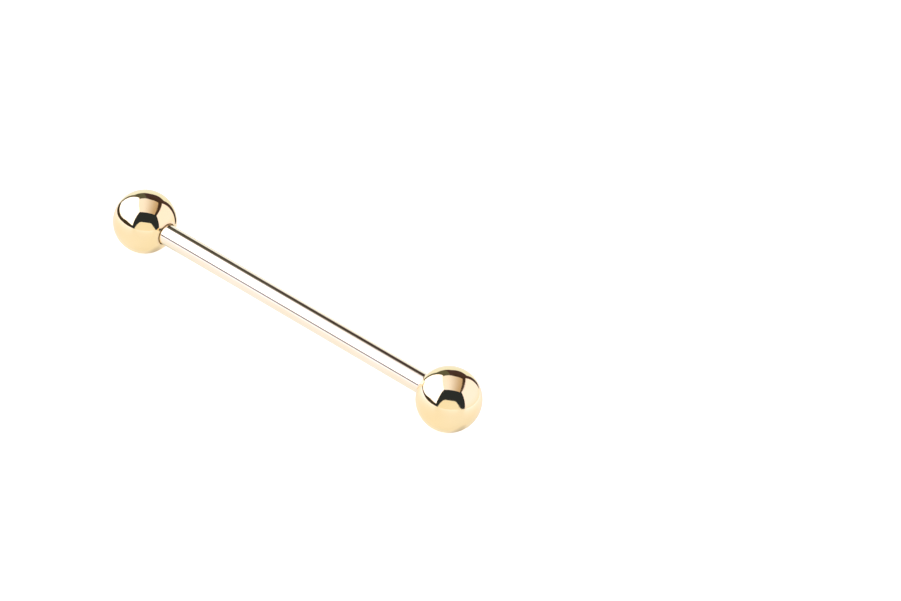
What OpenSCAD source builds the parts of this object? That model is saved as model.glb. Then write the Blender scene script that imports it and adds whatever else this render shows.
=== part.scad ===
// Industrial barbell for an ear: a straight bar with a ball screwed on each end.
// The bar lies along X. The origin is under its middle, on the surface that both balls rest on.

/* [Bar] */
// Diameter of the bar, which is what the piercings fit (12 gauge)
bar_d = 2.0; // [1.9:0.05:2.6]
// Length of bar that shows between the two balls
wear_length = 32; // [20:0.5:48]
// Length of the bevel at each end of the bar, inside the ball's mouth
bevel_length = 0.3; // [0.2:0.05:0.5]
// Width of the flat shoulder round the foot of each thread
shoulder_width = 0.08; // [0.04:0.01:0.1]

/* [Thread] */
// Outside diameter of the thread on each end of the bar
thread_d = 1.58; // [1.2:0.02:1.6]
// Distance from one thread to the next
thread_pitch = 0.35; // [0.25:0.05:0.5]
// Height of the thread from root to crest
thread_height = 0.2; // [0.1:0.02:0.24]
// Length of each threaded end, from the shoulder to the tip
thread_length = 2.9; // [2:0.1:3.2]
// Length of the plain neck between the shoulder and the first thread
neck_length = 0.25; // [0.1:0.05:0.5]
// Chamfer round the tip of the threaded end
tip_chamfer = 0.15; // [0.05:0.05:0.3]

/* [Balls] */
// Diameter of each ball
ball_d = 6.0; // [5.5:0.25:8]
// Width of the open ring between the bar and the rim of the ball's mouth
mouth_gap = 0.08; // [0.06:0.02:0.3]
// Spare depth of the hole past the tip of the thread
hole_spare = 0.35; // [0.1:0.05:0.5]
// Angle of the drill's point at the bottom of the hole
drill_angle = 118; // [90:1:140]

/* [Fit] */
// Radial clearance between the bar's end and the ball's hole
hole_clearance = 0.04; // [0.02:0.01:0.08]
// Gap between the bar's shoulder and its seat in the ball
seat_gap = 0.02; // [0.01:0.01:0.05]

/* [Hidden] */
$fn = 96;
bar_gold = [0.95, 0.86, 0.66];
ball_gold = [0.93, 0.79, 0.50];

bar_r = bar_d / 2;
crest_r = thread_d / 2;
root_r = crest_r - thread_height;
shoulder_r = crest_r + shoulder_width;

// A thread has a narrow flat on its crest and a wider one at its root
crest_flat = thread_pitch / 8;
root_flat = thread_pitch / 4;
flank = (thread_pitch - crest_flat - root_flat) / 2;
thread_count = floor((thread_length - neck_length - tip_chamfer) / thread_pitch);

// Places along the bar, from its middle
bar_end = wear_length / 2;
shoulder = bar_end + bevel_length;
first_thread = shoulder + neck_length;
tip = shoulder + thread_length;

// Places along each ball's hole, from the ball's centre
ball_r = ball_d / 2;
mouth_r = bar_r + mouth_gap;
mouth = -sqrt(ball_r * ball_r - mouth_r * mouth_r);
seat = mouth + bevel_length + seat_gap;
seat_r = shoulder_r + hole_clearance;
bore_r = crest_r + hole_clearance;
bore_end = seat + thread_length + hole_spare;
drill_point = bore_r / tan(drill_angle / 2);
ball_x = bar_end - mouth;

// One ridge of the thread as [radius, place] points, starting at its root
function ridge(x) = [
    [root_r, x],
    [crest_r, x + flank],
    [crest_r, x + flank + crest_flat],
    [root_r, x + 2 * flank + crest_flat]
];

// Outline of one end of the bar as [radius, place] points, from the last of the full diameter to the tip
function bar_end_outline() = concat(
    [[bar_r, bar_end], [shoulder_r, shoulder], [root_r, shoulder]],
    [for (i = [0 : thread_count - 1]) each ridge(first_thread + i * thread_pitch)],
    [[root_r, tip - tip_chamfer], [root_r - tip_chamfer, tip], [0, tip]]
);

// The same points for the other end, in the order that closes the outline
function opposite(points) = [
    for (i = [len(points) - 1 : -1 : 0]) [points[i][0], -points[i][1]]
];

// Outline of a ball's hole: a countersunk mouth, the flat seat, the bore and the drill's point
module hole_outline() {
    outside = -ball_r - mouth_r;
    widening = (mouth_r - seat_r) / (seat - mouth);
    polygon([
        [0, outside],
        [mouth_r + widening * (mouth - outside), outside],
        [seat_r, seat],
        [bore_r, seat],
        [bore_r, bore_end],
        [0, bore_end + drill_point]
    ]);
}

module bar() {
    color(bar_gold)
        translate([0, 0, ball_r])
            rotate([0, 90, 0])
                rotate_extrude()
                    polygon(concat(opposite(bar_end_outline()), bar_end_outline()));
}

// A ball with its mouth towards the middle of the bar
module right_ball() {
    color(ball_gold)
        translate([ball_x, 0, ball_r])
            rotate([0, 90, 0])
                difference() {
                    sphere(r = ball_r);
                    rotate_extrude() hole_outline();
                }
}

module left_ball() {
    mirror([1, 0, 0])
        right_ball();
}

bar();
left_ball();
right_ball();
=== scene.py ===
# %% [markdown]
# # A gold barbell for an ear
#
# The object is a straight bar, 2 mm thick, with a 6 mm ball screwed on each end.
# It comes out of a lathe and a polishing drum, so almost all of it is a mirror.
# A mirror has no look of its own: what the picture shows on it is the room that it stands in.
# So this lesson makes exact turned shapes, gives them a finely marked gold skin,
# and then builds the small photographer's tent that the gold reflects.
#
# The script works round a measured model. It keeps to that model's sizes and never moves its solids.

# %% Load the measured model
import math

import bmesh
import bpy
from mathutils import Matrix, Vector


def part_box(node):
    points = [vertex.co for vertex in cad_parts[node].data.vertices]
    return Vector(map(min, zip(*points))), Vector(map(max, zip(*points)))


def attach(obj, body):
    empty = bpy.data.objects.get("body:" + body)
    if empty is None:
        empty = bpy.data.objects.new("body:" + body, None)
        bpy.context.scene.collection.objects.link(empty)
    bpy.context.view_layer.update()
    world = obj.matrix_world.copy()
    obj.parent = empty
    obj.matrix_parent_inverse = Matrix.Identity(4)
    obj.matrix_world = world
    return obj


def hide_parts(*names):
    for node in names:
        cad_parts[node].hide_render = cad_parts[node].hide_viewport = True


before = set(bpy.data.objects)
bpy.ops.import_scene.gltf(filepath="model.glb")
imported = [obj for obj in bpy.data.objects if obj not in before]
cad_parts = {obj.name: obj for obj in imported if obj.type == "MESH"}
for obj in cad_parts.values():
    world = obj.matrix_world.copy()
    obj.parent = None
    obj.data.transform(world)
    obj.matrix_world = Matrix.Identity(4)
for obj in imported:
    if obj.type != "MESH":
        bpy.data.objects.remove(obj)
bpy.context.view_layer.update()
MM = 0.001

bar_low, bar_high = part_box("bar")
ball_low, ball_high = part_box("right_ball")
print("bar from", [round(v / MM, 3) for v in bar_low], "to", [round(v / MM, 3) for v in bar_high])
print("right ball from", [round(v / MM, 3) for v in ball_low], "to", [round(v / MM, 3) for v in ball_high])

# %% [markdown]
# ## Camera
#
# A long lens from 40 cm away keeps both balls nearly the same size, as in the photograph.
# The camera could be aimed by eye. Instead its place follows from the two balls' outlines:
# their places and sizes in the picture leave one direction, one distance and one focal length
# for each roll of the camera. The roll then follows from the level line that the balls mirror.
# The camera is aimed a little beside the bar's middle, because the photograph has the barbell off centre,
# and that needs no lens shift.

# %% Camera
BALL_R = 3.0
CAMERA_AZIMUTH, CAMERA_ELEVATION, CAMERA_ROLL = 36.906, 27.914, 12.0
CAMERA_DISTANCE = 0.40206
LENS, SENSOR = 177.257, 36.0
AIM_RIGHT, AIM_UP = 0.013845, 0.003396


def toward(azimuth, elevation=0.0):
    """The direction from the barbell to something at that azimuth and elevation, in degrees."""
    a, e = math.radians(azimuth), math.radians(elevation)
    return Vector((math.sin(a) * math.cos(e), -math.cos(a) * math.cos(e), math.sin(e)))


middle = Vector((0, 0, BALL_R * MM))
back = toward(CAMERA_AZIMUTH, CAMERA_ELEVATION)
right = toward(CAMERA_AZIMUTH + 90)
above = back.cross(right)
place = middle + back * CAMERA_DISTANCE
aim = middle + right * AIM_RIGHT + above * AIM_UP

camera = bpy.data.objects.new("camera", bpy.data.cameras.new("camera"))
bpy.context.scene.collection.objects.link(camera)
camera.location = place
camera.rotation_mode = "QUATERNION"
look = (aim - place).to_track_quat("-Z", "Y")
camera.rotation_quaternion = look @ Matrix.Rotation(math.radians(CAMERA_ROLL), 4, "Z").to_quaternion()
camera.data.lens, camera.data.sensor_width = LENS, SENSOR
camera.data.clip_start, camera.data.clip_end = 0.01, 10.0
bpy.context.scene.camera = camera
print("camera", [round(v, 4) for v in place], "looks at", [round(v, 4) for v in aim])

# %% [markdown]
# ## A helper for node trees
#
# Every material and every Geometry Nodes tree below is built in the script.
# One short helper adds a node, sets its options and fills its inputs, so that each tree reads as a recipe.

# %% Node helper
def add(tree, kind, inputs=(), **options):
    """Adds a node to a tree. An input is a value, or an output socket of another node."""
    node = tree.nodes.new(kind)
    for name, value in options.items():
        setattr(node, name, value)
    for key, value in dict(inputs).items():
        socket = node.inputs[key]
        if isinstance(value, bpy.types.NodeSocket):
            tree.links.new(value, socket)
        else:
            socket.default_value = value
    return node


def maths(tree, operation, *values, **options):
    """One Math node, which shading and geometry share. Gives its result."""
    return add(tree, "ShaderNodeMath", dict(enumerate(values)), operation=operation, **options).outputs[0]


def sum_of(tree, *values):
    return maths(tree, "ADD", *values)


def product(tree, *values):
    return maths(tree, "MULTIPLY", *values)


def vector_maths(tree, operation, *vectors):
    """One Vector Math node. Gives a length or a dot product as a number, and anything else as a vector."""
    node = add(tree, "ShaderNodeVectorMath", dict(enumerate(vectors)), operation=operation)
    return node.outputs["Value" if operation in ("LENGTH", "DOT_PRODUCT") else "Vector"]


def spread(tree, value, start, end, low=0.0, high=1.0, smooth=False):
    """Maps a value from the range start to end onto the range low to high, straight or with soft ends."""
    ranges = {"Value": value, "From Min": start, "From Max": end, "To Min": low, "To Max": high}
    kind = "SMOOTHSTEP" if smooth else "LINEAR"
    return add(tree, "ShaderNodeMapRange", ranges, interpolation_type=kind).outputs[0]


def between(tree, mask, low, high):
    """Turns a mask into a value from low to high."""
    return spread(tree, mask, 0.0, 1.0, low, high)


def blend(tree, mask, first, second):
    """Mixes two colours by a mask."""
    return add(tree, "ShaderNodeMix", {0: mask, 6: first, 7: second}, data_type="RGBA").outputs[2]


def noise(tree, place, scale, detail, **inputs):
    """Soft noise. Its largest features are about one over the scale, in millimetres."""
    values = {"Vector": place, "Scale": scale, "Detail": detail, **inputs}
    return add(tree, "ShaderNodeTexNoise", values).outputs["Fac"]


def group(name, kind, inputs, outputs):
    """An empty node group with named inputs and outputs. Gives the tree, its input and its output node."""
    tree = bpy.data.node_groups.new(name, kind)
    for socket, (socket_type, value) in inputs.items():
        made = tree.interface.new_socket(socket, in_out="INPUT", socket_type=socket_type)
        if value is not None:
            made.default_value = value
    for socket, socket_type in outputs.items():
        tree.interface.new_socket(socket, in_out="OUTPUT", socket_type=socket_type)
    return tree, tree.nodes.new("NodeGroupInput"), tree.nodes.new("NodeGroupOutput")


# %% [markdown]
# ## What the gold skin shows
#
# The real finish is a very thin gold-coloured coating on polished steel.
# Close up it isn't a perfect mirror: it has hairlines from polishing, a faint film from fingers,
# a tone that drifts a little over the surface, and dull rings where two parts meet.
# Each of these is used by more than one material, so each is a node group that is built once.
# The groups give out only masks and colours. The shader itself stays in each material.

# %% Hairlines from polishing
FLOAT, VECTOR, COLOUR = "NodeSocketFloat", "NodeSocketVector", "NodeSocketColor"
LINE_TURNS = (0.5, 0.3, 0.7), (1.9, 1.2, 0.4)
LINE_STRETCHES = (0.03, 1.0, 1.6), (1.4, 0.025, 1.0)
LINE_WIDTH, MIDDLE_GREY = 0.012, 0.5
PATCH_SCALE, PATCH_START, PATCH_FADE = 0.8, 0.72, 0.1


def hairlines_group():
    """Fine lines in two directions, each made of noise that is squeezed across and stretched along."""
    tree, given, out = group("hairlines", "ShaderNodeTree", {
        "Place": (VECTOR, None), "Fineness": (FLOAT, 5.0), "Share": (FLOAT, 0.3)}, {"Lines": FLOAT})
    place = given.outputs["Place"]
    lines = []
    for turn, stretch in zip(LINE_TURNS, LINE_STRETCHES):
        rotated = add(tree, "ShaderNodeVectorRotate", {"Vector": place, "Rotation": turn},
                      rotation_type="EULER_XYZ").outputs[0]
        squeezed = vector_maths(tree, "MULTIPLY", rotated, stretch)
        grain = noise(tree, squeezed, given.outputs["Fineness"], detail=2.0, Roughness=0.6)
        off_middle = maths(tree, "ABSOLUTE", maths(tree, "SUBTRACT", grain, MIDDLE_GREY))
        lines.append(spread(tree, off_middle, 0.0, LINE_WIDTH, 1.0, 0.0, smooth=True))
    patches = noise(tree, place, PATCH_SCALE, detail=1.0)
    edge = maths(tree, "SUBTRACT", 1.0, given.outputs["Share"])
    shown = spread(tree, patches, product(tree, edge, PATCH_START), sum_of(tree, edge, PATCH_FADE))
    tree.links.new(product(tree, maths(tree, "MAXIMUM", *lines), shown), out.inputs["Lines"])
    return tree


hairlines = hairlines_group()
print("group", hairlines.name, "with", len(hairlines.nodes), "nodes")

# %% Finger film and drift of tone
WHITE = (1.0, 1.0, 1.0, 1.0)
SMEAR_SCALE, SMEAR_EDGE = 0.45, (0.47, 0.68)
GRAIN_SCALE, GRAIN_EDGE, GRAIN_LEAST = 7.0, (0.35, 0.7), 0.55
DRIFT_SCALE, DRIFT_EDGE = 0.22, (0.35, 0.65)


def film_group():
    """Soft smears of a few millimetres, as fingers leave them."""
    tree, given, out = group("finger_film", "ShaderNodeTree", {"Place": (VECTOR, None)}, {"Film": FLOAT})
    place = given.outputs["Place"]
    blots = noise(tree, place, SMEAR_SCALE, detail=2.0, Roughness=0.55, Distortion=0.6)
    smear = spread(tree, blots, *SMEAR_EDGE)
    broken = spread(tree, noise(tree, place, GRAIN_SCALE, detail=3.0), *GRAIN_EDGE, GRAIN_LEAST, 1.0)
    tree.links.new(product(tree, smear, broken), out.inputs["Film"])
    return tree


def tone_group():
    """The coating's colour drifts between a paler and a redder gold over a few millimetres."""
    tree, given, out = group("coating_tone", "ShaderNodeTree", {
        "Place": (VECTOR, None), "Pale": (COLOUR, WHITE), "Deep": (COLOUR, WHITE)}, {"Color": COLOUR})
    drift = spread(tree, noise(tree, given.outputs["Place"], DRIFT_SCALE, detail=1.5), *DRIFT_EDGE)
    tree.links.new(blend(tree, drift, given.outputs["Pale"], given.outputs["Deep"]), out.inputs["Color"])
    return tree


finger_film, coating_tone = film_group(), tone_group()
print("groups", finger_film.name, "and", coating_tone.name)

# %% Dull rings and depth in a groove
BAR_END = 16.0
CREST_R, ROOT_R = 0.79, 0.59
RING_SCALE, RAGGEDNESS, RING_EDGE = 4.0, 0.8, (0.5, 1.4)


def ring_group():
    """A dull ring where a ball's mouth and the bar's shoulder rub, at a distance from the bar's middle."""
    tree, given, out = group("rubbed_ring", "ShaderNodeTree", {
        "Place": (VECTOR, None), "From Middle": (FLOAT, BAR_END), "Width": (FLOAT, 0.1)}, {"Ring": FLOAT})
    place = given.outputs["Place"]
    along = maths(tree, "ABSOLUTE", add(tree, "ShaderNodeSeparateXYZ", {0: place}).outputs["X"])
    off = maths(tree, "ABSOLUTE", maths(tree, "SUBTRACT", along, given.outputs["From Middle"]))
    near = maths(tree, "DIVIDE", off, given.outputs["Width"])
    ragged = sum_of(tree, near, product(tree, noise(tree, place, RING_SCALE, detail=3.0), RAGGEDNESS))
    tree.links.new(spread(tree, ragged, *RING_EDGE, 1.0, 0.0), out.inputs["Ring"])
    return tree


def depth_group():
    """How deep a point lies in a thread, from 0 on its open side to 1 at the bottom of the groove."""
    tree, given, out = group("groove_depth", "ShaderNodeTree", {
        "Place": (VECTOR, None), "Open Radius": (FLOAT, CREST_R), "Deep Radius": (FLOAT, ROOT_R)},
        {"Depth": FLOAT})
    across = vector_maths(tree, "MULTIPLY", given.outputs["Place"], (0.0, 1.0, 1.0))
    radius = vector_maths(tree, "LENGTH", across)
    depth = spread(tree, radius, given.outputs["Open Radius"], given.outputs["Deep Radius"])
    tree.links.new(depth, out.inputs["Depth"])
    return tree


rubbed_ring, groove_depth = ring_group(), depth_group()
print("groups", rubbed_ring.name, "and", groove_depth.name)

# %% [markdown]
# ## Gold
#
# The gold could be one flat colour on a metal shader. Then each close view would show a perfect ball
# bearing, and the coating would look printed. Here one function builds the polished gold for the bar
# and for the balls, with its own fineness of hairlines, and a second one the duller gold of the threads,
# whose grooves are darkened by painted shade and grime.
#
# The colour is a metal's: it tints what is mirrored. White light comes back as (1, 0.80, 0.46),
# which the photograph gives where a ball mirrors the white table. On the bar it comes back paler.
# Places are read from Object coordinates, moved to the bar's axis and turned from metres to millimetres.

# %% Materials of the barbell
BALL_TONES = (1.0, 0.80, 0.455, 1.0), (0.99, 0.775, 0.41, 1.0)
BAR_TONES = (0.98, 0.87, 0.66, 1.0), (0.97, 0.845, 0.61, 1.0)
CUT_TONES = (0.98, 0.84, 0.56, 1.0), (0.97, 0.81, 0.51, 1.0)
BARE_GOLD = (0.82, 0.64, 0.40, 1.0)
# The dark gold that a thread's groove is blended towards: painted shade and grime.
SHADED_GRIMY_GOLD = (0.30, 0.19, 0.09, 1.0)
CLEAN, FILMED = 0.025, 0.075
LINE_DULLNESS, LINE_DEPTH, LINE_SHARE = 0.06, 0.00035, 0.42
RING_DULLNESS, RING_WEAR = 0.22, 0.6
CREST_DULLNESS, GROOVE_DULLNESS, FILM_DULLNESS = 0.16, 0.42, 0.08
SKIN_SCALE = 1.6
CHIP_SCALE, CHIP_DEPTH, CHIP_STRENGTH = 9.0, 0.012, 0.5
# How the painted shade and grime grow with depth in a groove, and how patchy they are.
GROOVE_SHADE_POWER, SHADE_AND_GRIME_RANGE = 1.6, (0.45, 1.1)


def placed(tree, effect, **inputs):
    """Puts a node group into a material, with its own values."""
    node = tree.nodes.new("ShaderNodeGroup")
    node.node_tree = effect
    for key, value in inputs.items():
        socket = node.inputs[key.replace("_", " ")]
        if isinstance(value, bpy.types.NodeSocket):
            tree.links.new(value, socket)
        else:
            socket.default_value = value
    return node.outputs[0]


def gold_material(name):
    """A material with a metal shader, and the place on the piece in millimetres from the bar's middle."""
    material = bpy.data.materials.new(name)
    material.use_nodes = True
    tree = material.node_tree
    shader = tree.nodes["Principled BSDF"]
    shader.inputs["Metallic"].default_value = 1.0
    coordinates = tree.nodes.new("ShaderNodeTexCoord")
    centred = add(tree, "ShaderNodeMapping", {"Vector": coordinates.outputs["Object"],
                  "Location": (0, 0, -BALL_R), "Scale": (1 / MM,) * 3})
    return material, tree, shader, centred.outputs[0]


def polished_gold(name, tones, fineness, ring_width, waviness):
    """Mirror gold with hairlines, a finger film, a drifting tone and the dull ring at the ball's mouth."""
    material, tree, shader, where = gold_material(name)
    lines = placed(tree, hairlines, Place=where, Fineness=fineness, Share=LINE_SHARE)
    film = placed(tree, finger_film, Place=where)
    ring = placed(tree, rubbed_ring, Place=where, From_Middle=BAR_END, Width=ring_width)
    tone = placed(tree, coating_tone, Place=where, Pale=tones[0], Deep=tones[1])
    worn = blend(tree, product(tree, ring, RING_WEAR), tone, BARE_GOLD)
    tree.links.new(worn, shader.inputs["Base Color"])
    marked = sum_of(tree, between(tree, film, CLEAN, FILMED), product(tree, lines, LINE_DULLNESS))
    tree.links.new(sum_of(tree, marked, product(tree, ring, RING_DULLNESS)), shader.inputs["Roughness"])
    skin = noise(tree, where, SKIN_SCALE, detail=1.0)
    height = sum_of(tree, product(tree, lines, -LINE_DEPTH), product(tree, skin, waviness))
    bump = add(tree, "ShaderNodeBump", {"Strength": 1.0, "Distance": MM, "Height": height})
    tree.links.new(bump.outputs[0], shader.inputs["Normal"])
    return material


def thread_gold(name, tones, open_radius, deep_radius):
    """Gold in a cut thread: satin on the crests, duller down in the groove, and darker there by painted shade
    and grime.
    """
    material, tree, shader, where = gold_material(name)
    depth = placed(tree, groove_depth, Place=where, Open_Radius=open_radius, Deep_Radius=deep_radius)
    film = placed(tree, finger_film, Place=where)
    tone = placed(tree, coating_tone, Place=where, Pale=tones[0], Deep=tones[1])
    chips = noise(tree, where, CHIP_SCALE, detail=4.0)
    # Painted shade and grime: darker towards the bottom of the groove, patchy by noise.
    groove_shade_and_grime = product(tree, maths(tree, "POWER", depth, GROOVE_SHADE_POWER), between(tree, chips, *SHADE_AND_GRIME_RANGE))
    tree.links.new(blend(tree, groove_shade_and_grime, tone, SHADED_GRIMY_GOLD), shader.inputs["Base Color"])
    satin = between(tree, depth, CREST_DULLNESS, GROOVE_DULLNESS)
    tree.links.new(sum_of(tree, satin, product(tree, film, FILM_DULLNESS)), shader.inputs["Roughness"])
    bump = add(tree, "ShaderNodeBump", {"Strength": CHIP_STRENGTH, "Distance": MM,
               "Height": product(tree, chips, CHIP_DEPTH)})
    tree.links.new(bump.outputs[0], shader.inputs["Normal"])
    return material


BORE_R, TAPPED_R = 0.83, 0.95
bar_gold = polished_gold("polished_gold_bar", BAR_TONES, fineness=6.0, ring_width=0.10, waviness=0.0010)
ball_gold = polished_gold("polished_gold_ball", BALL_TONES, fineness=4.0, ring_width=0.09, waviness=0.0012)
bar_thread_gold = thread_gold("thread_gold_bar", CUT_TONES, CREST_R, ROOT_R)
ball_thread_gold = thread_gold("thread_gold_ball", BALL_TONES, BORE_R, TAPPED_R)
print("materials", [m.name for m in (bar_gold, ball_gold, bar_thread_gold, ball_thread_gold)])

# %% [markdown]
# ## The screw thread
#
# Each end of the bar has a thread of 1.6 mm, with 0.35 mm from turn to turn, and each ball has the same
# thread cut into its hole. A thread could be faked by a stack of rings, as in the solids that the robot
# simulator uses. A real one climbs, and it shows when a ball is off. It follows a strict rule,
# so Geometry Nodes make it: a grid is wrapped round the axis, and each row starts one pitch further on
# than where it ended, so the last column of a row meets the first column of a later row.
# The same tree makes the outside thread of the bar and the inside thread of the ball:
# only the two radii differ. At both ends the thread fades into plain metal, as a cut thread does.

# %% Geometry Nodes tree for a thread
AROUND, STEPS, PITCH = 128, 16, 0.35
GROOVE_SIDE, CREST_SIDE = 0.1, 0.44
SAME_PLACE = 2e-7


def thread_tree():
    """A helical thread round the X axis, as a tree with named sizes in metres."""
    sizes = {"Start": 0.0, "Axis Height": 0.0, "Pitch": 0.00035, "Turns": 7.0, "Base Radius": 0.0006,
             "Ridge Radius": 0.0008, "Run Out": 0.0002}
    inputs = {name: (FLOAT, value) for name, value in sizes.items()}
    inputs["Around"], inputs["Steps per Turn"] = ("NodeSocketInt", 64), ("NodeSocketInt", 16)
    inputs["Material"] = ("NodeSocketMaterial", None)
    tree, given, out = group("screw_thread", "GeometryNodeTree", inputs, {"Thread": "NodeSocketGeometry"})
    size = given.outputs

    def calc(operation, *values):
        return maths(tree, operation, *values)

    # A grid of rows along the thread and columns round it, one turn longer than the thread
    rows_in_turns = calc("ADD", size["Turns"], 1.0)
    rows = calc("ADD", calc("MULTIPLY", rows_in_turns, size["Steps per Turn"]), 1.0)
    columns = calc("ADD", size["Around"], 1.0)
    grid = add(tree, "GeometryNodeMeshGrid", {"Size X": 1.0, "Size Y": 1.0,
               "Vertices X": rows, "Vertices Y": columns})
    where = add(tree, "ShaderNodeSeparateXYZ", {0: tree.nodes.new("GeometryNodeInputPosition").outputs[0]})
    row = calc("MULTIPLY", calc("ADD", where.outputs["X"], 0.5), rows_in_turns)
    part_turn = calc("ADD", where.outputs["Y"], 0.5)

    # How far along the thread a point lies, cut off square at both ends
    length = calc("MULTIPLY", size["Turns"], size["Pitch"])
    climbed = calc("MULTIPLY", calc("ADD", calc("SUBTRACT", row, 1.0), part_turn), size["Pitch"])
    along = calc("MINIMUM", calc("MAXIMUM", climbed, 0.0), length)

    # The ridge: a rounded wave across each turn, faded out over the run-out at both ends
    ridge = spread(tree, calc("PINGPONG", row, 0.5), GROOVE_SIDE, CREST_SIDE, smooth=True)
    start_fade = spread(tree, along, 0.0, size["Run Out"], smooth=True)
    end_fade = spread(tree, calc("SUBTRACT", length, along), 0.0, size["Run Out"], smooth=True)
    shape = calc("MULTIPLY", ridge, calc("MULTIPLY", start_fade, end_fade))
    rise = calc("MULTIPLY", calc("SUBTRACT", size["Ridge Radius"], size["Base Radius"]), shape)
    radius = calc("ADD", size["Base Radius"], rise)

    # Wrapped round the axis, welded and painted
    angle = calc("MULTIPLY", part_turn, 2 * math.pi)
    point = add(tree, "ShaderNodeCombineXYZ", {
        "X": calc("ADD", size["Start"], along),
        "Y": calc("MULTIPLY", radius, calc("COSINE", angle)),
        "Z": calc("ADD", size["Axis Height"], calc("MULTIPLY", radius, calc("SINE", angle)))})
    wrapped = add(tree, "GeometryNodeSetPosition", {"Geometry": grid.outputs[0],
                  "Position": point.outputs[0]})
    welded = add(tree, "GeometryNodeMergeByDistance", {"Geometry": wrapped.outputs[0],
                 "Distance": SAME_PLACE})
    single = add(tree, "GeometryNodeRealizeInstances", {"Geometry": welded.outputs[0]})
    painted = add(tree, "GeometryNodeSetMaterial", {"Geometry": single.outputs[0],
                  "Material": size["Material"]})
    tree.links.new(painted.outputs[0], out.inputs["Thread"])
    return tree


screw_thread = thread_tree()
print("thread tree inputs", [s.name for s in screw_thread.interface.items_tree if s.in_out == "INPUT"])

# %% [markdown]
# The tree becomes a plain mesh here. A modifier on an empty object runs it,
# the result of that modifier is copied into a new mesh, and the helper object is removed.

# %% Run the tree
THREAD_START, BAR_TURNS, BALL_TURNS = 16.55, 7.0, 8.0
RUN_OUT = 0.5 * PITCH


def thread_mesh(name, turns, base_radius, ridge_radius, material):
    """The thread at the right end as a plain mesh in metres."""
    helper = bpy.data.objects.new(name, bpy.data.meshes.new(name))
    bpy.context.scene.collection.objects.link(helper)
    modifier = helper.modifiers.new("thread", "NODES")
    modifier.node_group = screw_thread
    wanted = {"Start": THREAD_START * MM, "Axis Height": BALL_R * MM, "Pitch": PITCH * MM, "Turns": turns,
              "Base Radius": base_radius * MM, "Ridge Radius": ridge_radius * MM, "Run Out": RUN_OUT * MM,
              "Around": AROUND, "Steps per Turn": STEPS, "Material": material}
    for socket in screw_thread.interface.items_tree:
        if socket.in_out == "INPUT":
            modifier[socket.identifier] = wanted[socket.name]
    shown = helper.evaluated_get(bpy.context.evaluated_depsgraph_get())
    mesh = bpy.data.meshes.new_from_object(shown)
    helper.modifiers.remove(modifier)
    bpy.data.objects.remove(helper)
    return mesh


bar_thread = thread_mesh("bar_thread", BAR_TURNS, ROOT_R, CREST_R, bar_thread_gold)
ball_thread = thread_mesh("ball_thread", BALL_TURNS, BORE_R, TAPPED_R, ball_thread_gold)
for mesh in (bar_thread, ball_thread):
    reach = [max(v.co[i] for v in mesh.vertices) for i in range(3)]
    print(mesh.name, len(mesh.vertices), "points", len(mesh.polygons), "faces, reach",
          [round(r / MM, 4) for r in reach])

# %% [markdown]
# ## Turned outlines
#
# Everything else is turned on a lathe, so it is drawn as half an outline and spun round the axis.
# Blender's Spin tool or a Screw modifier would do that too. A short function in mesh code does it
# with the very angles of the thread's grid, so that the thread can be welded to it point by point.
# Corners that a hand can touch are rounded a little, as a tumbling drum leaves them:
# a razor-sharp edge is the first thing that gives away a computer's model.

# %% Outline helpers
ON_AXIS = 1e-9


def arc(centre, radius, start, end, steps):
    """Points of an arc as (distance from the axis, place along it), with angles in degrees from the axis."""
    points = []
    for i in range(steps + 1):
        a = math.radians(start + (end - start) * i / steps)
        points.append((centre[0] + radius * math.sin(a), centre[1] + radius * math.cos(a)))
    return points


def rounded(before, corner, after, size, steps=4):
    """A corner of an outline cut back by size on both sides, with a smooth curve between."""
    p, c, n = Vector(before), Vector(corner), Vector(after)
    first, last = c + (p - c).normalized() * size, c + (n - c).normalized() * size
    curve = []
    for i in range(steps + 1):
        t = i / steps
        q = first * (1 - t) ** 2 + c * 2 * t * (1 - t) + last * t ** 2
        curve.append((q.x, q.y))
    return curve


def turned(work, outline, material_index=0):
    """Spins an outline of (radius, place) points round the bar's axis. A radius of 0 closes a pole."""
    rings = []
    for radius, along in outline:
        if radius < ON_AXIS:
            rings.append([work.verts.new((along * MM, 0.0, BALL_R * MM))])
            continue
        ring = []
        for j in range(AROUND):
            a = 2 * math.pi * j / AROUND
            y, z = radius * math.cos(a), BALL_R + radius * math.sin(a)
            ring.append(work.verts.new((along * MM, y * MM, z * MM)))
        rings.append(ring)
    for first, second in zip(rings, rings[1:]):
        for j in range(AROUND):
            k = (j + 1) % AROUND
            corners = [ring[i % len(ring)] for ring, i in ((first, j), (first, k), (second, k), (second, j))]
            face = work.faces.new(list(dict.fromkeys(corners)))
            face.material_index = material_index


# %% [markdown]
# A finished piece is welded, closed and turned right side out. Then it is smoothed,
# except across real corners, and checked: every edge of a solid has exactly two faces.

# %% Finish a piece
WELD, NO_AREA = 5e-7, 1e-8
CORNER = math.radians(32)


def add_mesh(work, mesh, turn, material_index):
    """Copies a thread into a bmesh, turned about the upright axis by a half turn for the left end."""
    copy = mesh.copy()
    copy.transform(turn)
    before = len(work.faces)
    work.from_mesh(copy)
    work.faces.ensure_lookup_table()
    for face in work.faces[before:]:
        face.material_index = material_index
    bpy.data.meshes.remove(copy)


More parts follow.
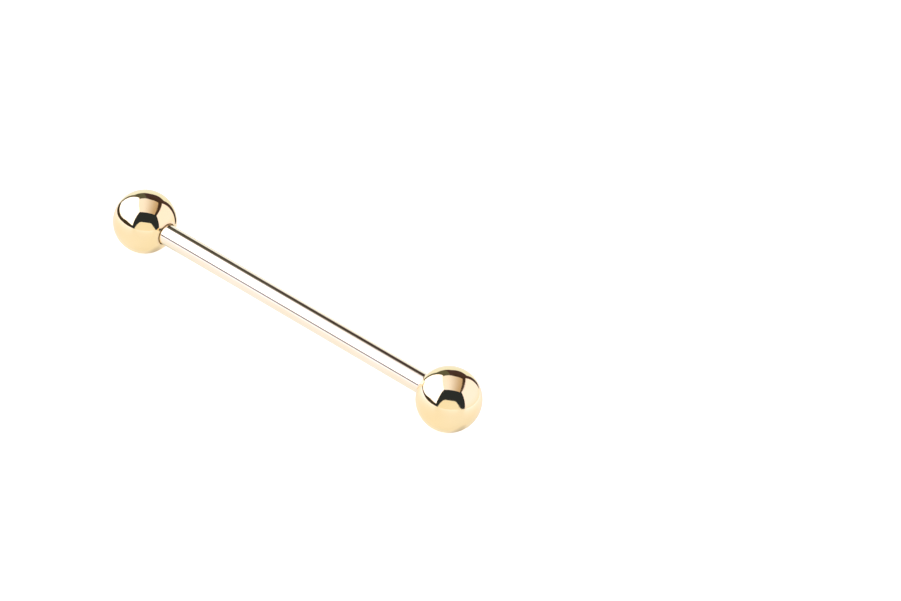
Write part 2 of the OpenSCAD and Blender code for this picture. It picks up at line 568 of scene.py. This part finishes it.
def finished(work, name, materials):
    """Welds and closes a bmesh and makes it an object at the origin."""
    bmesh.ops.remove_doubles(work, verts=work.verts, dist=WELD)
    bmesh.ops.dissolve_degenerate(work, edges=work.edges, dist=NO_AREA)
    bmesh.ops.recalc_face_normals(work, faces=work.faces)
    open_edges = sum(1 for e in work.edges if len(e.link_faces) != 2)
    volume = work.calc_volume(signed=True)
    for face in work.faces:
        face.smooth = True
    for edge in work.edges:
        if len(edge.link_faces) == 2 and edge.calc_face_angle(0.0) > CORNER:
            edge.smooth = False
    mesh = bpy.data.meshes.new(name)
    work.to_mesh(mesh)
    work.free()
    for material in materials:
        mesh.materials.append(material)
    piece = bpy.data.objects.new(name, mesh)
    bpy.context.scene.collection.objects.link(piece)
    triangles = sum(len(p.vertices) - 2 for p in mesh.polygons)
    print(name, triangles, "triangles, open edges", open_edges, "volume", round(volume / MM ** 3, 2), "mm3")
    return piece


HALF_TURN = Matrix.Rotation(math.pi, 4, "Z")
KEEP = Matrix.Identity(4)

# %% [markdown]
# ## The bar
#
# The bar is one rod: a plain polished shank, a small bevel and a flat shoulder at each end,
# a thin neck, the thread, and a chamfered tip. The outline below is one end. The other end is the same
# points turned round, so both threads are right-handed, as on the real one.

# %% Bar outline
BAR_R = 1.0
SHOULDER, SHOULDER_R = 16.3, 0.87
TIP, TIP_CHAMFER = 19.2, 0.15
BEVEL_ROUND, SHOULDER_ROUND, NECK_ROUND, TIP_ROUND = 0.05, 0.03, 0.04, 0.03
SHANK_RINGS = (0.0, 4.0, 8.0, 12.0, 15.0, 15.8)
TIP_RING_R = 0.2
MARGIN = 0.001
thread_end = THREAD_START + BAR_TURNS * PITCH


def shank_outline():
    """One end of the bar from its middle to where the thread starts."""
    before, bevel, shoulder = (BAR_R, SHANK_RINGS[-1]), (BAR_R, BAR_END), (SHOULDER_R, SHOULDER)
    foot, start = (ROOT_R, SHOULDER), (ROOT_R, THREAD_START)
    points = [(BAR_R, along) for along in SHANK_RINGS]
    points += rounded(before, bevel, shoulder, BEVEL_ROUND)
    points += rounded(bevel, shoulder, foot, SHOULDER_ROUND)
    points += rounded(shoulder, foot, start, NECK_ROUND)
    return points + [start]


def tip_outline():
    """From where the thread ends to the flat tip."""
    chamfer = (ROOT_R, TIP - TIP_CHAMFER)
    points = [(ROOT_R, thread_end), chamfer]
    points += rounded(chamfer, (ROOT_R - TIP_CHAMFER, TIP), (0.0, TIP), TIP_ROUND)
    return points + [(TIP_RING_R, TIP), (0.0, TIP)]


print("one end of the bar", len(shank_outline()), "points of shank", len(tip_outline()), "of tip")

# %% Build the bar
work = bmesh.new()
half = shank_outline()
turned(work, [(r, -x) for r, x in reversed(half)] + half[1:])
turned(work, tip_outline(), 1)
turned(work, [(r, -x) for r, x in tip_outline()], 1)
add_mesh(work, bar_thread, KEEP, 1)
add_mesh(work, bar_thread, HALF_TURN, 1)
for face in work.faces:
    if abs(face.calc_center_median().x) > (SHOULDER + MARGIN) * MM:
        face.material_index = 1
threaded_bar = finished(work, "threaded_bar", [bar_gold, bar_thread_gold])

# %% [markdown]
# ## The balls
#
# Each ball is turned, drilled, tapped and then tumbled until it shines.
# A UV sphere with a Boolean hole would be quick, but a Boolean leaves long thin faces round the mouth
# that a mirror finish shows at once. One outline gives the ball, its rounded mouth, the countersink,
# the seat for the bar's shoulder, the plain start of the hole and the drill's point, with the thread
# welded in between.

# %% Ball outline
MOUTH_R, SEAT_R = 1.08, 0.91
SEAT_DEPTH, BORE_LENGTH, DRILL_POINT = 0.32, 3.25, 0.499
MOUTH_ROUND, DRILL_RING_R = 0.035, 0.3
BALL_STEPS, MOUTH_STEPS = 84, 6
HOLE_REACH = 1.5
MOUTH = -math.sqrt(BALL_R ** 2 - MOUTH_R ** 2)
BALL_X = BAR_END - MOUTH
SEAT = MOUTH + SEAT_DEPTH
BORE_END = SEAT + BORE_LENGTH


def ball_outline():
    """From the ball's outer pole round to its mouth and down to the start of the thread."""
    mouth_angle = 180 - math.degrees(math.asin(MOUTH_R / BALL_R))
    round_angle = math.degrees(MOUTH_ROUND / BALL_R)
    points = arc((0.0, BALL_X), BALL_R, 0, mouth_angle - round_angle, BALL_STEPS)
    points[0] = (0.0, BALL_X + BALL_R)
    rim, seat_edge = (MOUTH_R, BALL_X + MOUTH), (SEAT_R, BALL_X + SEAT)
    points += rounded(points[-1], rim, seat_edge, MOUTH_ROUND, MOUTH_STEPS)[1:]
    points += [seat_edge, (BORE_R, BALL_X + SEAT), (BORE_R, THREAD_START)]
    return points


def hole_bottom():
    """From the end of the thread to the drill's point."""
    end = THREAD_START + BALL_TURNS * PITCH
    part_way = BALL_X + BORE_END + DRILL_POINT * (1 - DRILL_RING_R / BORE_R)
    return [(BORE_R, end), (BORE_R, BALL_X + BORE_END), (DRILL_RING_R, part_way),
            (0.0, BALL_X + BORE_END + DRILL_POINT)]


print("right ball's centre", round(BALL_X, 3), "mouth", round(BALL_X + MOUTH, 3), "mm from the bar's middle")

# %% Build the balls
def screw_ball(name, turn):
    """One ball. The outline is the right ball's, and a half turn puts it on the left end."""
    work = bmesh.new()
    turned(work, ball_outline())
    turned(work, hole_bottom(), 1)
    add_mesh(work, ball_thread, KEEP, 1)
    for face in work.faces:
        middle = face.calc_center_median()
        across = math.hypot(middle.y, middle.z - BALL_R * MM)
        if across < (SEAT_R + MARGIN) * MM and middle.x < (BALL_X + HOLE_REACH) * MM:
            face.material_index = 1
    work.transform(turn)
    return finished(work, name, [ball_gold, ball_thread_gold])


right_screw_ball = screw_ball("right_screw_ball", KEEP)
left_screw_ball = screw_ball("left_screw_ball", HALF_TURN)

# %% [markdown]
# ## What rides on what
#
# Each finished piece stands for one solid of the measured model and moves with that solid's body:
# the two balls slide off the ends of the bar, which is how unscrewing them is stored.

# %% Ride and replace
for piece, node in ((threaded_bar, "bar"), (left_screw_ball, "left_ball"), (right_screw_ball, "right_ball")):
    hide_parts(node)
    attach(piece, node)
    solid_low, solid_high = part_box(node)
    low = [min(v.co[i] for v in piece.data.vertices) for i in range(3)]
    high = [max(v.co[i] for v in piece.data.vertices) for i in range(3)]
    print(piece.name, "past its solid by",
          [round(max(a - b, c - d) / MM, 4) for a, b, c, d in zip(solid_low, low, high, solid_high)], "mm")

# %% [markdown]
# ## The photographer's tent
#
# The photograph looks as if it was taken in a small tent of white cloth with a black opening for the camera.
# The balls are mirrors, so they show all of it. Read back from them, it has a bright window at the left,
# a creamier one at the right, a pale sweep of paper at the back, a tan ceiling, and a black arch in front
# whose lower part is filled by a pale flap.
# An image of a studio would light it too, but it would be a file, and it would lie at an endless
# distance. Cards of plain light at real distances give each ball its own slightly shifted mirror image.
# The cards aren't seen by the camera. They are part of the stage, not of the object.

# %% Light that fades along a direction
UP = (0.0, 0.0, 1.0)


def fade_group():
    """One colour of light that turns into another between two places along a direction, in metres."""
    tree, given, out = group("fading_light", "ShaderNodeTree", {
        "Place": (VECTOR, None), "Direction": (VECTOR, UP), "Start": (FLOAT, 0.0), "End": (FLOAT, 1.0),
        "First": (COLOUR, WHITE), "Second": (COLOUR, WHITE)}, {"Color": COLOUR})
    along = vector_maths(tree, "DOT_PRODUCT", given.outputs["Place"], given.outputs["Direction"])
    share = spread(tree, along, given.outputs["Start"], given.outputs["End"], smooth=True)
    tree.links.new(blend(tree, share, given.outputs["First"], given.outputs["Second"]), out.inputs["Color"])
    return tree


fading_light = fade_group()
print("group", fading_light.name, "with", len(fading_light.nodes), "nodes")

# %% Card helpers
STAGE = []


def glow(name, strength, colour, fade=None):
    """Plain light, or light that fades to another colour: (colour, direction, start, end), in metres."""
    material = bpy.data.materials.new(name)
    material.use_nodes = True
    tree = material.node_tree
    tree.nodes.clear()
    light = add(tree, "ShaderNodeEmission", {"Color": (*colour, 1.0), "Strength": strength})
    if fade:
        other, direction, start, end = fade
        place = tree.nodes.new("ShaderNodeTexCoord").outputs["Object"]
        mixed = placed(tree, fading_light, Place=place, Direction=direction, Start=start, End=end,
                       First=(*colour, 1.0), Second=(*other, 1.0))
        tree.links.new(mixed, light.inputs["Color"])
    result = tree.nodes.new("ShaderNodeOutputMaterial")
    tree.links.new(light.outputs[0], result.inputs[0])
    return material


def stage_mesh(name, corners, material):
    """A flat many-sided card through the given points in metres."""
    mesh = bpy.data.meshes.new(name)
    mesh.from_pydata([tuple(c) for c in corners], [], [tuple(range(len(corners)))])
    mesh.materials.append(material)
    card = bpy.data.objects.new(name, mesh)
    bpy.context.scene.collection.objects.link(card)
    STAGE.append(card)
    return card


def wall(name, facing, distance, outline, *light):
    """An upright card that fills an outline of (azimuth, elevation) directions, as the barbell sees it."""
    normal, along = toward(facing), toward(facing + 90)
    corners = []
    for azimuth, elevation in outline:
        off = math.radians(azimuth - facing)
        height = BALL_R * MM + distance * math.tan(math.radians(elevation)) / math.cos(off)
        corners.append(normal * distance + along * distance * math.tan(off) + Vector((0, 0, height)))
    stage_mesh(name, corners, glow(name, *light)).visible_camera = False


def level(facing, height_share, azimuths):
    """Directions to the level top edge of an upright card, whose height is a share of its distance."""
    return [(azimuth, math.degrees(math.atan(height_share * math.cos(math.radians(azimuth - facing)))))
            for azimuth in azimuths]


def overhead(name, height, outline, *light):
    """A level card above the barbell. Each corner is its reach towards two sides, as shares of the height."""
    corners = [(toward(a) * reach + toward(b) * other_reach) * height + Vector((0, 0, height))
               for a, reach, b, other_reach in outline]
    stage_mesh(name, corners, glow(name, *light)).visible_camera = False


# %% Windows, sweep, flap and boards
LEFT, RIGHT, FRONT, BACK = -50, 130, 40, -140
CEILING, ROOF = 0.72, 0.77

wall("left_window", LEFT, 0.45,
     [(-103, -0.5), (-70, -0.5), (-52, 0.7), (-42, 2.1), (-33, 3.7), (-26, 3.8), (-3, 0),
      *level(LEFT, 1.9, (-3, -103))],
     2.0, (0.92, 0.94, 1.24))
wall("right_window", RIGHT, 0.22,
     [(94, -14), (176, -14), *level(RIGHT, 1.27, (176, 94))],
     1.45, (0.72, 0.70, 0.74), ((0.80, 0.77, 1.0), UP, -0.045, 0.07))
wall("back_sweep", BACK, 0.60,
     [(-171, -20), (-111, -20), (-111, 23), (-121, 26), (-130, 29), (-139, 32.5), (-147, 30.5), (-158, 27),
      (-171, 26.5)],
     1.05, (0.90, 0.97, 1.03))
wall("front_flap", FRONT, 0.40,
     [(6, -12), (90, -12), (86, -7), (78, 1), (70, 12), (64, 20.5), (58, 23.5), (41, 24), (25, 23), (18, 20),
      (11, 9), (6, -5)],
     0.97, (1.0, 0.98, 0.95))
wall("back_board", BACK, 0.66, [(-187, -20), (-128, -20), (-128, 70), (-187, 70)], 0.07, (1.0, 0.60, 0.71))
wall("left_board", BACK, 0.66, [(-128, -20), (-98, -20), (-98, 70), (-128, 70)], 0.12, (0.95, 1.0, 0.80))
wall("left_skirt", LEFT, 0.52, [(-110, -12), (-6, -12), (-6, 4), (-110, 4)], 0.05, (1.0, 0.85, 0.65))
overhead("ceiling", CEILING,
         [(LEFT, 0.526, FRONT, 0.578), (RIGHT, 0.60, FRONT, 0.578), (RIGHT, 0.52, BACK, 0.52),
          (RIGHT, 0.10, BACK, 0.47), (LEFT, 0.20, BACK, 0.54), (LEFT, 0.526, BACK, 0.55)],
         1.0, (1.05, 1.06, 1.32), ((0.60, 0.46, 0.36), toward(RIGHT), -0.36 * CEILING, 0.55 * CEILING))
# Painted shade: a dim brown card above the ceiling that fills the gaps round it, where the tent lies in
# shade.
overhead("roof_shade_card", ROOF,
         [(RIGHT, 0.0, FRONT, 0.50), (RIGHT, 1.2, FRONT, 0.50), (RIGHT, 1.2, BACK, 0.9),
          (RIGHT, 0.0, BACK, 0.9)],
         0.06, (1.0, 0.62, 0.55))
print("cards", [c.name for c in STAGE])

# %% [markdown]
# ## Floor and table
#
# In the photograph the floor burns out to plain white and shows no shadow.
# The floor here is a pale matt surface that is lit by the tent, with some light of its own added for the
# camera alone, so that it burns out too. The balls mirror something else close by: the small
# table that they lie on, whose edge shows as a dark line. So a second surface stands for that table.
# It is there for mirrors only and lies 0.01 mm above the floor. It has a slight gloss, so it looks brighter
# towards the windows, and a painted shadow dims its own light beside each ball's foot, on the side away from
# the left window.

# %% Floor and table
FLOOR_HALF = 0.55
FLOOR_CORNERS = (-1, -1), (1, -1), (1, 1), (-1, 1)
TABLE_EDGE = [(8, 60), (-15, 13), (-23, 12), (-32, 14), (-41, 8), (-41, -4), (-40, -13), (-37, -21),
              (-28, -26), (-14, -27), (10, -28), (60, -28), (75, -14), (75, 60)]
TABLE_LIFT = 0.01
FLOOR_GREY, FLOOR_GLOW = 0.93, 0.7
TABLE_GREY, TABLE_GLOW = 0.27, 0.76
TABLE_SHEEN, SHEEN_ROUGHNESS, SHEEN_IOR = (0.37, 0.37, 0.68, 1.0), 0.3, 1.4
# Place, size and depth of the painted shadow beside each ball's foot.
SHADOW_OFFSET, SHADOW_REACH, SHADOW_EDGE = (1.8, 0.3), (2.0, 1.15), (0.15, 1.2)
LIGHT_IN_SHADOW = 0.60


def painted_foot_shadow(tree):
    """A mask of the painted shadow beside each ball's foot, 1 in its middle. It dims the table's own light
    there.
    """
    coordinates = tree.nodes.new("ShaderNodeTexCoord").outputs["Object"]
    place = vector_maths(tree, "MULTIPLY", coordinates, (1 / MM,) * 3)
    shadows = []
    for foot in (-BALL_X, BALL_X):
        off = vector_maths(tree, "SUBTRACT", place, (foot + SHADOW_OFFSET[0], SHADOW_OFFSET[1], 0.0))
        far = vector_maths(tree, "LENGTH", vector_maths(tree, "DIVIDE", off, (*SHADOW_REACH, 1.0)))
        shadows.append(spread(tree, far, *SHADOW_EDGE, 1.0, 0.0, smooth=True))
    return maths(tree, "MAXIMUM", *shadows)


def pale_surface(name, grey, own_light, seen_by, sheen=None):
    """A pale matt surface with some light of its own for one kind of ray, and a glossy sheen if it has one.
    It isn't there from below, so a low view still sees the barbell."""
    material = bpy.data.materials.new(name)
    material.use_nodes = True
    tree = material.node_tree
    shader = tree.nodes["Principled BSDF"]
    shader.inputs["Base Color"].default_value = (grey, grey, grey, 1.0)
    shader.inputs["Roughness"].default_value = 1.0
    shader.inputs["Specular IOR Level"].default_value = 0.0
    path, side = tree.nodes.new("ShaderNodeLightPath"), tree.nodes.new("ShaderNodeNewGeometry")
    strength = product(tree, path.outputs[seen_by], own_light)
    if sheen:
        # Painted shadow: the table's own light is dimmed beside each ball's foot.
        strength = product(tree, strength, between(tree, painted_foot_shadow(tree), 1.0, LIGHT_IN_SHADOW))
    extra = add(tree, "ShaderNodeEmission", {"Color": WHITE, "Strength": strength})
    surface = add(tree, "ShaderNodeAddShader", {0: shader.outputs[0], 1: extra.outputs[0]})
    if sheen:
        gloss = add(tree, "ShaderNodeBsdfGlossy", {"Color": sheen, "Roughness": SHEEN_ROUGHNESS})
        share = add(tree, "ShaderNodeFresnel", {"IOR": SHEEN_IOR})
        glint = add(tree, "ShaderNodeMixShader", {0: share.outputs[0], 2: gloss.outputs[0]})
        surface = add(tree, "ShaderNodeAddShader", {0: surface.outputs[0], 1: glint.outputs[0]})
    clear = tree.nodes.new("ShaderNodeBsdfTransparent")
    one_sided = add(tree, "ShaderNodeMixShader", {0: side.outputs["Backfacing"],
                    1: surface.outputs[0], 2: clear.outputs[0]})
    tree.links.new(one_sided.outputs[0], tree.nodes["Material Output"].inputs[0])
    return material


floor = stage_mesh("floor", [(x * FLOOR_HALF, y * FLOOR_HALF, 0) for x, y in FLOOR_CORNERS],
                   pale_surface("white_floor", FLOOR_GREY, FLOOR_GLOW, "Is Camera Ray"))
floor.visible_glossy = False
table = stage_mesh("table", [(x * MM, y * MM, TABLE_LIFT * MM) for x, y in TABLE_EDGE],
                   pale_surface("table_top", TABLE_GREY, TABLE_GLOW, "Is Glossy Ray", TABLE_SHEEN))
table.visible_camera = table.visible_diffuse = table.visible_shadow = False
print("floor", 2 * FLOOR_HALF, "m, table with", len(TABLE_EDGE), "corners")

# %% [markdown]
# ## Background
#
# Past the floor's edge the camera sees plain white, and everything else sees the dark room outside the tent,
# which is what the black arch in the balls is.

# %% World and colour
DARK_ROOM = (0.025, 0.033, 0.049, 1.0)
world = bpy.data.worlds.new("studio")
bpy.context.scene.world = world
world.use_nodes = True
tree = world.node_tree
tree.nodes.clear()
path = tree.nodes.new("ShaderNodeLightPath")
room = add(tree, "ShaderNodeBackground", {"Color": DARK_ROOM, "Strength": 1.0})
white = add(tree, "ShaderNodeBackground", {"Color": WHITE, "Strength": 1.0})
choice = add(tree, "ShaderNodeMixShader", {0: path.outputs["Is Camera Ray"],
             1: room.outputs[0], 2: white.outputs[0]})
result = tree.nodes.new("ShaderNodeOutputWorld")
tree.links.new(choice.outputs[0], result.inputs[0])
bpy.context.scene.view_settings.view_transform = "Standard"
print("world", world.name, "with", len(tree.nodes), "nodes")
